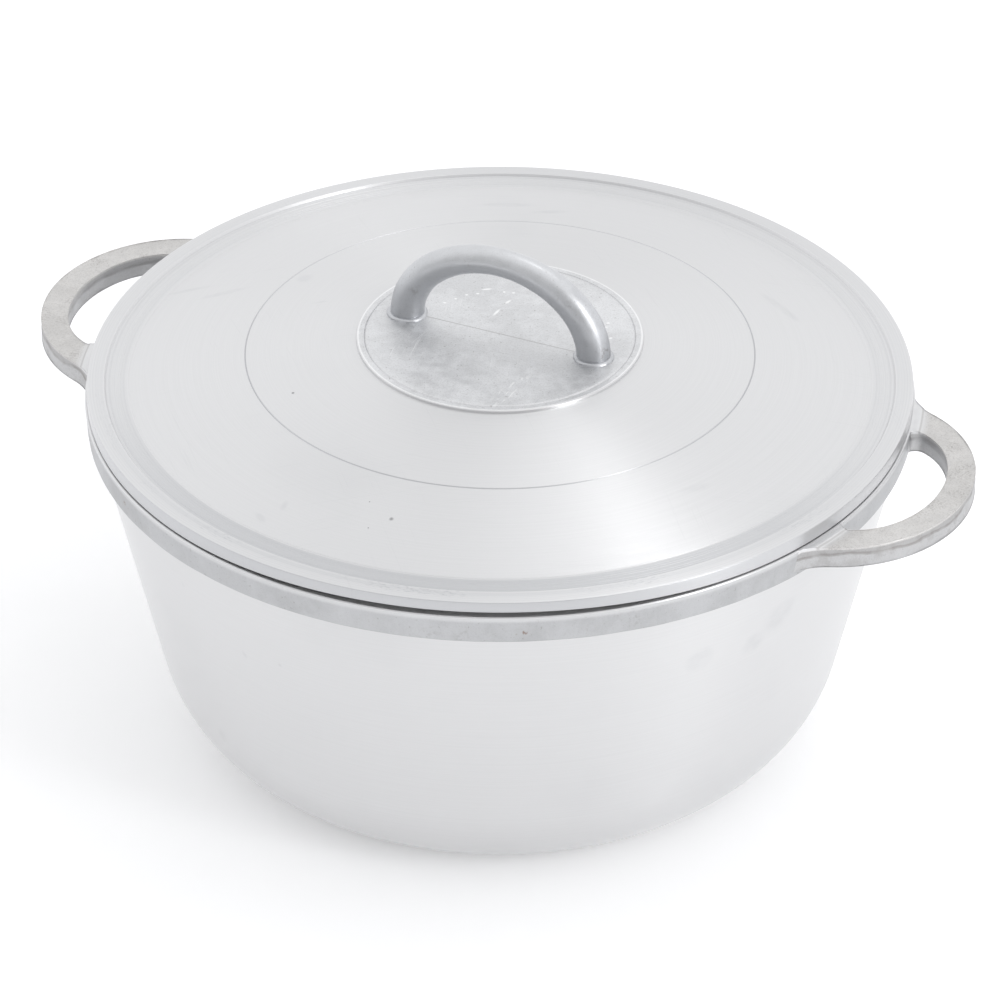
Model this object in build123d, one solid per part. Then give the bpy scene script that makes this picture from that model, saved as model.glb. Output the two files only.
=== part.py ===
"""Heavy cast-aluminium stock pot with two loop ears and a loose domed lid.

Millimetres, +Z up. The origin is the centre of the flat base, and +X runs through the ears.
The real pot is two sand castings, the pot and the lid. Each casting is written as the
regions that a founder and a turner name, because they differ in finish and in shape.
"""

import os
from math import cos, radians, sin, sqrt, tan

from build123d import *

# ---------------------------------------------------------------- pot casting
RIM_TOP_Z = 165.0          # turned top face of the rim
BAND_HEIGHT = 13.0         # height of the as-cast band round the mouth
BAND_TOP_R = 181.0         # outer radius of the band at its top
BAND_BOTTOM_R = 180.2      # and at its lower edge, after the mould's draft
RIM_EDGE_ROUND = 0.8       # turned edge break on the rim
MOUTH_R = 169.5            # clear opening of the mouth
MOUTH_LEAD = 3.0           # height over which the mouth widens into the wall
SEAT_R = 174.6             # rebate in which the lid's spigot drops
SEAT_DEPTH = 4.0           # depth of that rebate below the rim

WALL_TOP_R = 176.4         # outer radius of the wall where it meets the band
WALL_DRAFT = 12.9          # degrees that the wall leans in on its way down
CORNER_R = 60.0            # radius at which the wall turns in towards the base
CORNER_CENTRE_Z = 54.5     # height of that radius's centre
BASE_BLEND_R = 28.0        # smaller radius that runs out into the flat base
WALL = 4.2                 # thickness of the wall
BASE_THICK = 5.5           # thickness of the base
INNER_CORNER_R = 52.0      # radius between wall and base, inside

# ---------------------------------------------------------------- ears
EAR_DROP = 0.6             # the ears' as-cast tops lie this far under the turned rim
EAR_THICK = 9.6
EAR_FACING_R = 184.6       # the rim's facing cut runs this far on to the ears
EAR_OUTER = (160.0, 57.5, 62.0)   # plan ellipse: centre x, half length x, half width y
EAR_HOLE = (173.0, 32.0, 43.2)    # plan ellipse of the grip hole
EAR_FLARE_R = 28.0         # concave radius where an ear runs out into the band
EAR_HOLE_CORNER_R = 4.5    # radius in the two corners of the grip hole
EAR_ROOT_INSET = 0.3       # the ear's outline starts this far inside the band's face

# ---------------------------------------------------------------- lid casting
LID_R = 180.0              # outer radius of the flange
RIM_GAP = 2.3              # the flange hangs this far clear of the rim
FLANGE_THICK = 4.5         # thickness of the flange at its edge
FLANGE_CHAMFER = 0.5
LEDGE_INNER_R = 172.4      # inner edge of the ledge
LEDGE_RISE = 0.7           # the ledge is this much higher at its inner edge
RING_DROP = 0.6            # step from the ledge down to the flat ring
DOME_FOOT_R = 161.3        # where the dome starts
DOME_RADIUS = 609.0        # spherical radius of the turned dome
LID_THICK = 4.0
SCRIBE_R = 110.8           # fine line that the turner left half way up the dome
SCRIBE_WIDTH = 0.8
SCRIBE_DEPTH = 0.3
SPIGOT_R = 173.6           # outside of the locating spigot, 1 mm clear of the rebate
SPIGOT_INNER_R = 167.0
SPIGOT_CHAMFER = 0.6

# ---------------------------------------------------------------- lid hub and handle
HUB_R = 62.6               # as-cast disc in the middle of the lid
HUB_STEP = 1.2             # height of the disc's edge above the dome round it
HUB_INSET = 1.6            # depth to which the disc's metal reaches below that edge
HUB_CROWN = 0.3            # the disc inside the turned line stands this much higher
HUB_CHAMFER = 0.6
HUB_LINE_R = 58.8          # fine turned line between the disc and its rim
HUB_LINE_WIDTH = 0.8
HUB_LINE_DEPTH = 0.5
HUB_PAD_R = 68.0           # thicker metal under the disc

ARCH_HALF_SPAN = 44.4      # foot centre to the middle of the lid
ARCH_RISE = 36.3           # disc to the centre line at the crown
FOOT_BAR_R = 7.7           # half thickness of the bar at its feet
CROWN_BAR_R = 6.4          # and at the crown
ARCH_STATIONS = 8          # spans between the bar's sections
COLLAR_R = 9.4             # cast collar round each foot
COLLAR_HEIGHT = 1.1
COLLAR_ROUND = 0.5

# ---------------------------------------------------------------- derived heights
BAND_BOTTOM_Z = RIM_TOP_Z - BAND_HEIGHT
SEAT_Z = RIM_TOP_Z - SEAT_DEPTH
EAR_TOP_Z = RIM_TOP_Z - EAR_DROP
FLANGE_BOTTOM_Z = RIM_TOP_Z + RIM_GAP
FLANGE_TOP_Z = FLANGE_BOTTOM_Z + FLANGE_THICK
LEDGE_INNER_Z = FLANGE_TOP_Z + LEDGE_RISE
RING_Z = LEDGE_INNER_Z - RING_DROP
DOME_CENTRE_Z = RING_Z - sqrt(DOME_RADIUS**2 - DOME_FOOT_R**2)
WALL_ACROSS = WALL / cos(radians(WALL_DRAFT))      # wall thickness measured level
INNER_WALL_TOP_R = WALL_TOP_R - WALL_ACROSS


def dome_z(r, depth=0.0):
    """Height at radius r of the dome, or of the sphere that lies depth inside it."""
    return DOME_CENTRE_Z + sqrt((DOME_RADIUS - depth) ** 2 - r**2)


HUB_RIM_Z = dome_z(HUB_R) + HUB_STEP
HUB_TOP_Z = HUB_RIM_Z + HUB_CROWN
HUB_FLOOR_Z = HUB_RIM_Z - HUB_STEP - HUB_INSET


def turned(section):
    """Turns a closed half-section drawn on the XZ plane round the Z axis."""
    return revolve(section, Axis.Z)


def filled(*lines):
    """Closed face between lines given in the XZ plane's own x and y."""
    return make_face(Plane.XZ * Curve(children=list(lines)))


def dome_arc(r_start, r_end, depth=0.0):
    """Arc of the dome's section, or of the sphere that lies depth inside it."""
    r_mid = (r_start + r_end) / 2
    return ThreePointArc(*((r, dome_z(r, depth)) for r in (r_start, r_mid, r_end)))


def wall_r(z):
    """Outer radius of the straight part of the wall at height z."""
    return WALL_TOP_R - (BAND_BOTTOM_Z - z) * tan(radians(WALL_DRAFT))


def pot_body():
    """The turned bowl: flat base, rounded lower corner and leaning wall."""
    lean = radians(WALL_DRAFT)
    corner_top_z = CORNER_CENTRE_Z - CORNER_R * sin(lean)
    centre_r = wall_r(corner_top_z) - CORNER_R * cos(lean)
    foot_r = centre_r + sqrt(CORNER_R**2 - CORNER_CENTRE_Z**2)
    corner_top = (wall_r(corner_top_z), corner_top_z)
    down_wall = (-sin(lean), -cos(lean))
    inner_foot = (wall_r(BASE_THICK) - WALL_ACROSS, BASE_THICK)
    with BuildSketch(Plane.XZ) as section:
        with BuildLine():
            Line((0, 0), (foot_r, 0))
            TangentArc((corner_top, (foot_r, 0)), tangent=down_wall)
            Line(corner_top, (WALL_TOP_R, BAND_BOTTOM_Z))
            Line((WALL_TOP_R, BAND_BOTTOM_Z), (INNER_WALL_TOP_R, BAND_BOTTOM_Z))
            FilletPolyline(
                (INNER_WALL_TOP_R, BAND_BOTTOM_Z), inner_foot, (0, BASE_THICK), radius=INNER_CORNER_R
            )
            Line((0, BASE_THICK), (0, 0))
        make_face()
        fillet(section.vertices().sort_by_distance((foot_r, 0, 0))[0], BASE_BLEND_R)
    return turned(section.sketch)


def rim_band():
    """The thick rim: as-cast band outside, turned face on top, rebate for the lid."""
    with BuildSketch(Plane.XZ) as section:
        with BuildLine():
            Polyline(
                (INNER_WALL_TOP_R, BAND_BOTTOM_Z),
                (BAND_BOTTOM_R, BAND_BOTTOM_Z),
                (BAND_TOP_R, RIM_TOP_Z),
                (SEAT_R, RIM_TOP_Z),
                (SEAT_R, SEAT_Z),
                (MOUTH_R, SEAT_Z),
                (MOUTH_R, BAND_BOTTOM_Z + MOUTH_LEAD),
                close=True,
            )
        make_face()
        for r in (BAND_TOP_R, SEAT_R):
            fillet(section.vertices().sort_by_distance((r, 0, RIM_TOP_Z))[0], RIM_EDGE_ROUND)
    return turned(section.sketch)


def ear():
    """One loop ear on +X, with its grip hole, flared roots and faced step."""
    outer_x, outer_a, outer_b = EAR_OUTER
    hole_x, hole_a, hole_b = EAR_HOLE
    side_y = outer_b / 2
    bottom_z = EAR_TOP_Z - EAR_THICK
    root = Circle(BAND_BOTTOM_R - EAR_ROOT_INSET)

    outline = root + Pos(outer_x, 0) * Ellipse(outer_a, outer_b)
    outline = fillet(outline.vertices().filter_by(lambda v: abs(v.Y) > side_y), EAR_FLARE_R)
    outline = outline & Pos(outer_x + outer_b, 0) * Rectangle(2 * outer_b, 3 * outer_b)
    hole = Pos(hole_x, 0) * Ellipse(hole_a, hole_b) - root
    hole = fillet(hole.vertices().filter_by(lambda v: abs(v.Y) > side_y), EAR_HOLE_CORNER_R)

    bottom = Plane.XY.offset(bottom_z)
    loop = extrude(bottom * outline, RIM_TOP_Z - bottom_z) - extrude(bottom * hole, 2 * EAR_THICK)
    beyond_facing = Rectangle(3 * LID_R, 3 * LID_R) - Circle(EAR_FACING_R)
    loop -= extrude(Plane.XY.offset(EAR_TOP_Z) * beyond_facing, EAR_THICK)
    within_band = Polyline(
        (0, BAND_BOTTOM_Z),
        (BAND_BOTTOM_R, BAND_BOTTOM_Z),
        (BAND_TOP_R, RIM_TOP_Z),
        (0, RIM_TOP_Z),
        close=True,
    )
    return loop - turned(filled(within_band))


def lid_plate():
    """The turned lid: dome with a scribed line, flat ring, raised ledge and flange."""
    under_crown_z = dome_z(0, LID_THICK)
    with BuildSketch(Plane.XZ) as section:
        with BuildLine():
            Line((0, under_crown_z), (0, dome_z(0)))
            dome_arc(0, DOME_FOOT_R)
            Polyline(
                (DOME_FOOT_R, RING_Z),
                (LEDGE_INNER_R - RING_DROP, RING_Z),
                (LEDGE_INNER_R, LEDGE_INNER_Z),
                (LID_R, FLANGE_TOP_Z),
                (LID_R, FLANGE_BOTTOM_Z),
                (SPIGOT_INNER_R, FLANGE_BOTTOM_Z),
                (DOME_FOOT_R, dome_z(DOME_FOOT_R, LID_THICK)),
            )
            dome_arc(DOME_FOOT_R, 0, LID_THICK)
        make_face()
        for z in (FLANGE_TOP_Z, FLANGE_BOTTOM_Z):
            chamfer(section.vertices().sort_by_distance((LID_R, 0, z))[0], FLANGE_CHAMFER)
    plate = turned(section.sketch)

    scribe_z = dome_z(SCRIBE_R)
    half = SCRIBE_WIDTH / 2
    scribe = Polyline(
        (SCRIBE_R - half, scribe_z + half),
        (SCRIBE_R, scribe_z - SCRIBE_DEPTH),
        (SCRIBE_R + half, scribe_z + half),
        close=True,
    )
    pad_z = HUB_FLOOR_Z - LID_THICK
    pad = Pos(0, 0, pad_z) * extrude(Circle(HUB_PAD_R), LID_THICK)
    recess = Pos(0, 0, HUB_FLOOR_Z) * extrude(Circle(HUB_R), dome_z(0) - HUB_FLOOR_Z + LID_THICK)
    return plate + pad - recess - turned(filled(scribe))


def lid_spigot():
    """The ring under the flange that drops in the rim's rebate and centres the lid."""
    with BuildSketch(Plane.XZ) as section:
        with BuildLine():
            Polyline(
                (SPIGOT_INNER_R, SEAT_Z),
                (SPIGOT_R, SEAT_Z),
                (SPIGOT_R, FLANGE_BOTTOM_Z),
                (SPIGOT_INNER_R, FLANGE_BOTTOM_Z),
                close=True,
            )
        make_face()
        for r in (SPIGOT_R, SPIGOT_INNER_R):
            chamfer(section.vertices().sort_by_distance((r, 0, SEAT_Z))[0], SPIGOT_CHAMFER)
    return turned(section.sketch)


def lid_hub():
    """The as-cast disc left standing in the middle of the turned lid."""
    section = Polyline(
        (0, HUB_FLOOR_Z),
        (HUB_R, HUB_FLOOR_Z),
        (HUB_R, HUB_RIM_Z - HUB_CHAMFER),
        (HUB_R - HUB_CHAMFER, HUB_RIM_Z),
        (HUB_LINE_R + HUB_LINE_WIDTH / 2, HUB_RIM_Z),
        (HUB_LINE_R, HUB_RIM_Z - HUB_LINE_DEPTH),
        (HUB_LINE_R - HUB_LINE_WIDTH / 2, HUB_TOP_Z),
        (0, HUB_TOP_Z),
        close=True,
    )
    return turned(filled(section))


def lid_handle():
    """The arched grip: a round bar, thicker at its feet, with a cast collar at each."""
    arch = Plane.XZ * EllipticalCenterArc(
        (0, HUB_TOP_Z), ARCH_HALF_SPAN, ARCH_RISE, start_angle=0, arc_size=180
    )
    sections = []
    for step in range(ARCH_STATIONS + 1):
        share = step / ARCH_STATIONS
        radius = CROWN_BAR_R + (FOOT_BAR_R - CROWN_BAR_R) * abs(1 - 2 * share) ** 1.5
        sections.append(Plane(arch.position_at(share), z_dir=arch.tangent_at(share)) * Circle(radius))
    grip = sweep(sections, path=arch, multisection=True)
    collar = extrude(Circle(COLLAR_R), COLLAR_HEIGHT)
    collar = fillet(collar.faces().sort_by(Axis.Z)[-1].edges(), COLLAR_ROUND)
    for side in (-1, 1):
        grip += Pos(side * ARCH_HALF_SPAN, 0, HUB_TOP_Z) * collar
    return grip


def write(node, shape):
    """Writes one node, and prints its volume as a first check."""
    shape.label = node
    export_step(shape, f"parts/{node}.step")
    print(node, "solids", len(shape.solids()), "cm3", round(shape.volume / 1000, 1))


def main():
    os.makedirs("parts", exist_ok=True)
    right = ear()
    write("pot_body", pot_body())
    write("rim_band", rim_band())
    write("ear_right", right)
    write("ear_left", right.rotate(Axis.Z, 180))
    write("lid_plate", lid_plate())
    write("lid_spigot", lid_spigot())
    write("lid_hub", lid_hub())
    write("lid_handle", lid_handle())


main()
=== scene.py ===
"""Looks of a heavy cast-aluminium stock pot.

The bowl and the lid are turned on a lathe and shine along their tool lines. The rim's outside,
the two loop ears, the lid's hub and its arched grip are left as the sand mould made them.
"""

from math import atan2, cos, hypot, pi, radians, sin, sqrt, tan

import bmesh
import bpy
from bpy.props import FloatProperty, FloatVectorProperty, PointerProperty
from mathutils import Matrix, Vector, noise


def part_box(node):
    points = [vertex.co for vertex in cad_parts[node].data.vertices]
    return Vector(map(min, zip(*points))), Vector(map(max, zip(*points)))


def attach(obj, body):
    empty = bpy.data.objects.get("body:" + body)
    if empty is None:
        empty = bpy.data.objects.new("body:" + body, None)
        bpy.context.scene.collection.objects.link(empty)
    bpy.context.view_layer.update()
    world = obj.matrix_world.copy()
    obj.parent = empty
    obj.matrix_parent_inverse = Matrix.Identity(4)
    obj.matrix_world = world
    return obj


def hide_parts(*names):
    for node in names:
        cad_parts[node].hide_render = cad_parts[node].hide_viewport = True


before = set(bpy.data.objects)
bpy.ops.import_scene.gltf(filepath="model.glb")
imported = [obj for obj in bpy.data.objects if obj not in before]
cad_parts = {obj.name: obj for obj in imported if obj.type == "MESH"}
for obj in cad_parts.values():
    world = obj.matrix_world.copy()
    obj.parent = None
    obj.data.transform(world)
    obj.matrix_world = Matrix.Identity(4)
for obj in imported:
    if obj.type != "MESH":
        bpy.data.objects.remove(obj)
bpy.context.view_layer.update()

bl_info = {
    "name": "Cast stock pot",
    "version": (1, 0, 0),
    "blender": (4, 5, 0),
    "location": "View3D > Sidebar > Stock pot",
    "description": "Builds the turned and as-cast surfaces of a stock pot round its CAD frame",
    "category": "Add Mesh",
}

BOWL_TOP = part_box("pot_body")[1].z
BAND_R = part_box("rim_band")[1].x
RIM_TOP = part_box("rim_band")[1].z
LID_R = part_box("lid_plate")[1].x
LID_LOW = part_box("lid_plate")[0].z
SEAT_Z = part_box("lid_spigot")[0].z
SPIGOT_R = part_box("lid_spigot")[1].x
HUB_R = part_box("lid_hub")[1].x
HUB_FLOOR, HUB_TOP = (corner.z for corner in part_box("lid_hub"))
EAR_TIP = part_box("ear_right")[1].x

TURN_STEPS = 360          # facets round a turned piece
SNAP = 2e-5               # how near a vertex lies to the corner that it is picked by
SKIN = 5e-5               # clearance that keeps two pieces' faces from coinciding
SHARP_ANGLE = radians(32)
MM = 0.001
# Colour of the painted shade inside the lid's pits.
PIT_SHADE = (0.2, 0.2, 0.205)
RUST = (0.2, 0.1, 0.055)


# ------------------------------------------------------------------ settings
def length(name, description, millimetres):
    """A size of the pot, kept in metres and given here in millimetres."""
    return FloatProperty(
        name=name, description=description, default=millimetres * MM, min=0.0, precision=5,
        unit="LENGTH",
    )


def angle(name, description, degrees):
    """An angle, kept in radians and given here in degrees."""
    return FloatProperty(name=name, description=description, default=radians(degrees), unit="ROTATION")


def colour(name, description, rgb):
    """A linear surface colour."""
    return FloatVectorProperty(
        name=name, description=description, default=rgb, min=0.0, max=1.0, size=3, subtype="COLOR"
    )


def share(name, description, value):
    """A plain number from 0 to 1."""
    return FloatProperty(
        name=name, description=description, default=value, min=0.0, max=1.0, subtype="FACTOR"
    )


class BowlSizes(bpy.types.PropertyGroup):
    """Sizes of the turned bowl and its rim."""

    wall: length("Wall", "Thickness of the bowl's wall", 4.2)
    base: length("Base", "Thickness of the bowl's base", 5.5)
    wall_top: length("Wall top", "Outer radius of the wall under the rim band", 176.4)
    draft: angle("Draft", "How far the wall leans in", 12.9)
    corner: length("Corner", "Radius at which the wall turns in towards the base", 60.0)
    corner_height: length("Corner height", "Height of that radius's centre", 54.5)
    base_blend: length("Base blend", "Radius that runs out into the flat base", 28.0)
    inner_corner: length("Inner corner", "Radius between wall and base inside", 52.0)
    mouth: length("Mouth", "Clear radius of the mouth", 169.5)
    seat: length("Seat", "Radius of the rebate for the lid's spigot", 174.6)
    band_draft: length("Band draft", "How much less the band's radius is at its lower edge", 0.8)
    mouth_lead: length("Mouth lead", "Height over which the mouth widens into the wall", 3.0)


class EarSizes(bpy.types.PropertyGroup):
    """Sizes of the two loop ears."""

    centre: length("Centre", "Distance of the outer ellipse's centre from the pot's axis", 160.0)
    half_width: length("Half width", "Half width of the outer ellipse", 62.0)
    hole_centre: length("Hole centre", "Distance of the hole's centre from the pot's axis", 173.0)
    hole_reach: length("Hole reach", "Half length of the hole's ellipse", 32.0)
    hole_half_width: length("Hole half width", "Half width of the hole's ellipse", 43.2)
    flare: length("Flare", "Radius where the ear runs out into the band", 28.0)
    hole_corner: length("Hole corner", "Radius in the corners of the grip hole", 4.5)
    thickness: length("Thickness", "Height of the ear's bar", 9.6)
    drop: length("Drop", "How far the ear's top lies under the turned rim", 0.6)
    facing: length("Facing", "Radius to which the rim's facing cut runs on to the ears", 184.6)
    edge: length("Edge", "Radius of the ear's cast edges", 1.3)


class LidSizes(bpy.types.PropertyGroup):
    """Sizes of the turned lid."""

    thickness: length("Thickness", "Thickness of the dome", 4.0)
    flange: length("Flange", "Thickness of the flange at its edge", 4.5)
    ledge: length("Ledge", "Inner radius of the raised ledge", 172.4)
    ledge_rise: length("Ledge rise", "How much higher the ledge is at its inner edge", 0.7)
    ring_drop: length("Ring drop", "Step from the ledge down to the ring", 0.6)
    dome_foot: length("Dome foot", "Radius at which the dome starts", 161.3)
    dome: length("Dome", "Spherical radius of the dome", 609.0)
    scribe: length("Scribe", "Radius of the line scribed half way up the dome", 110.8)
    scribe_width: length("Scribe width", "Width of that line", 0.8)
    scribe_depth: length("Scribe depth", "Depth of that line", 0.3)
    gap_side: angle("Gap side", "Side on which the gap under the flange stays widest", -71.5)
    spigot_inner: length("Spigot inside", "Inner radius of the locating spigot", 167.0)
    hub_chamfer: length("Hub chamfer", "Bevel round the hub disc", 0.6)
    hub_line: length("Hub line", "Radius of the fine line on the hub", 58.8)
    hub_crown: length("Hub crown", "How far the disc inside that line stands proud", 0.3)


class GripSizes(bpy.types.PropertyGroup):
    """Sizes of the arched grip on the lid."""

    half_span: length("Half span", "Foot centre to the middle of the lid", 44.4)
    rise: length("Rise", "Hub to the bar's centre line at the crown", 36.3)
    foot: length("Foot", "Half thickness of the bar at its feet", 7.7)
    crown: length("Crown", "Half thickness of the bar at the crown", 6.4)
    collar: length("Collar", "Radius of the cast collar round each foot", 9.3)
    collar_height: length("Collar height", "Height of that collar", 1.1)
    flash: length("Flash", "Height of the flash left along the mould's parting line", 0.3)


class Finish(bpy.types.PropertyGroup):
    """Colours and gloss of the two aluminium finishes."""

    turned: colour("Turned metal", "Colour of the lathe-turned faces", (0.745, 0.745, 0.75))
    turned_gloss: share("Turned roughness", "Roughness of the lathe-turned faces", 0.35)
    lay: share("Lay", "How strongly the tool lines stretch a highlight", 0.8)
    # This colour marks handling and also paints shade: the lid's front rings, its scribed line, the
    # ears' sides and the grip's underside.
    smudge_and_shade: colour("Smudge", "Colour of handling marks", (0.46, 0.47, 0.49))
    band: colour("Rim skin", "Colour of the as-cast band round the rim", (0.495, 0.5, 0.51))
    ear: colour("Ear skin", "Colour of the as-cast ears", (0.645, 0.634, 0.622))
    hub: colour("Hub skin", "Colour of the as-cast disc on the lid", (0.725, 0.73, 0.74))
    grip: colour("Grip skin", "Colour of the as-cast grip", (0.60, 0.61, 0.63))
    cast_gloss: share("Cast roughness", "Roughness of the as-cast skin", 0.46)
    # This colour holds burnt sand and also paints shade: the shadow line and band along the ears' seam,
    # the line at their facing step and the hub's groove.
    stain_and_shade: colour("Stain", "Colour of burnt sand left in the skin", (0.20, 0.18, 0.165))


class Studio(bpy.types.PropertyGroup):
    """Camera, floor and light."""

    distance: length("Distance", "Camera to the point it looks at", 2966.0)
    aim: length("Aim", "Height of the point that the camera looks at", 106.1)
    azimuth: angle("Azimuth", "Camera's turn round the pot", 24.5)
    elevation: angle("Elevation", "Camera's angle over the floor", 32.91)
    lens: FloatProperty(name="Lens", description="Focal length in millimetres", default=242.1)
    floor: colour("Floor", "Colour of the floor", (0.93, 0.93, 0.935))
    sky: FloatProperty(name="Surround", description="Brightness of the white surround", default=1.06)
    shade: share("Shade", "How much darker the surround is behind the camera", 0.38)
    glow: share("Floor glow", "Light that comes through the floor, as from a light table", 0.19)
    overhead: FloatProperty(name="Overhead", description="Watts of the overhead lamp", default=0.42)
    wide: FloatProperty(name="Overhead strip", description="Watts of the wide strip above", default=0.75)
    side: FloatProperty(name="Side", description="Watts of the softbox on the right", default=10.0)


class StockPot(bpy.types.PropertyGroup):
    """Everything that a user would change."""

    bowl: PointerProperty(type=BowlSizes)
    ear: PointerProperty(type=EarSizes)
    lid: PointerProperty(type=LidSizes)
    grip: PointerProperty(type=GripSizes)
    finish: PointerProperty(type=Finish)
    studio: PointerProperty(type=Studio)


# ------------------------------------------------------------------ sections and mesh work
def arc(centre, radius, start, end, steps):
    """Points of an arc in a half-section, from one angle to another, both ends included."""
    angles = (start + (end - start) * step / steps for step in range(steps + 1))
    return [(centre[0] + radius * cos(a), centre[1] + radius * sin(a)) for a in angles]


def run(start, end, steps):
    """Evenly spaced points of a straight run, without its last one."""
    return [tuple(a + (b - a) * step / steps for a, b in zip(start, end)) for step in range(steps)]


def groove(r, z, width, depth):
    """Three points of a fine V groove."""
    return [(r - width / 2, z), (r, z - depth), (r + width / 2, z)]


def turn(section, closed=True, steps=TURN_STEPS):
    """A mesh made by spinning a half-section of (radius, height) points round Z."""
    bm = bmesh.new()
    verts = [bm.verts.new((r, 0.0, z)) for r, z in section]
    pairs = list(zip(verts, verts[1:]))
    if closed:
        pairs.append((verts[-1], verts[0]))
    edges = [bm.edges.new(pair) for pair in pairs]
    bmesh.ops.spin(
        bm, geom=verts + edges, cent=(0, 0, 0), axis=(0, 0, 1), dvec=(0, 0, 0), angle=2 * pi,
        steps=steps, use_merge=True, use_normal_flip=False, use_duplicate=False,
    )
    bmesh.ops.remove_doubles(bm, verts=bm.verts, dist=1e-6)
    bmesh.ops.recalc_face_normals(bm, faces=bm.faces)
    return bm


def bevel(bm, edges, offset, segments):
    """Rounds edges."""
    bmesh.ops.bevel(
        bm, geom=edges, offset=offset, offset_type="OFFSET", segments=segments, profile=0.5,
        affect="EDGES", material=-1, clamp_overlap=True,
    )


def soften(bm, *corners):
    """Rounds circular edges of a turned piece, each given by (radius, height, offset, segments)."""
    for r, z, offset, segments in corners:
        ring = [
            edge for edge in bm.edges
            if all(abs(v.co.xy.length - r) < SNAP and abs(v.co.z - z) < SNAP for v in edge.verts)
        ]
        if not ring:
            raise RuntimeError(f"no edge at radius {r} and height {z}")
        bevel(bm, ring, offset, segments)


def roughen(bm, verts, depth, grain, seed):
    """Presses vertices in by up to depth, as an uneven sand mould leaves them, and never out."""
    bm.normal_update()
    shift = Vector((seed, seed * 0.7, seed * 1.3))
    for v in verts:
        swell = noise.noise(v.co / grain + shift) + 0.5 * noise.noise(v.co * 2.7 / grain - shift)
        v.co -= v.normal * depth * min(max(0.5 + 0.5 * swell, 0.0), 1.0)


def face_materials(bm, pick):
    """Sets each face's material number by a rule that reads the radius and height of its centre."""
    for face in bm.faces:
        centre = face.calc_center_median()
        face.material_index = int(pick(centre.xy.length, centre.z))


def place(bm, name, body, nodes, materials):
    """Turns the mesh into a finished piece that rides on its body and stands for its nodes."""
    mesh = bpy.data.meshes.new(name)
    bm.to_mesh(mesh)
    bm.free()
    for material in materials:
        mesh.materials.append(material)
    mesh.shade_smooth()
    mesh.set_sharp_from_angle(angle=SHARP_ANGLE)
    piece = bpy.data.objects.new(name, mesh)
    bpy.context.scene.collection.objects.link(piece)
    even = piece.modifiers.new("Even shading", "WEIGHTED_NORMAL")
    even.keep_sharp = True
    even.weight = 80
    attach(piece, body)
    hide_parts(*nodes)


# ------------------------------------------------------------------ materials
def toned(rgb, times):
    """A colour made darker or lighter, held to white."""
    return [min(channel * times, 1) for channel in rgb]


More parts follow.
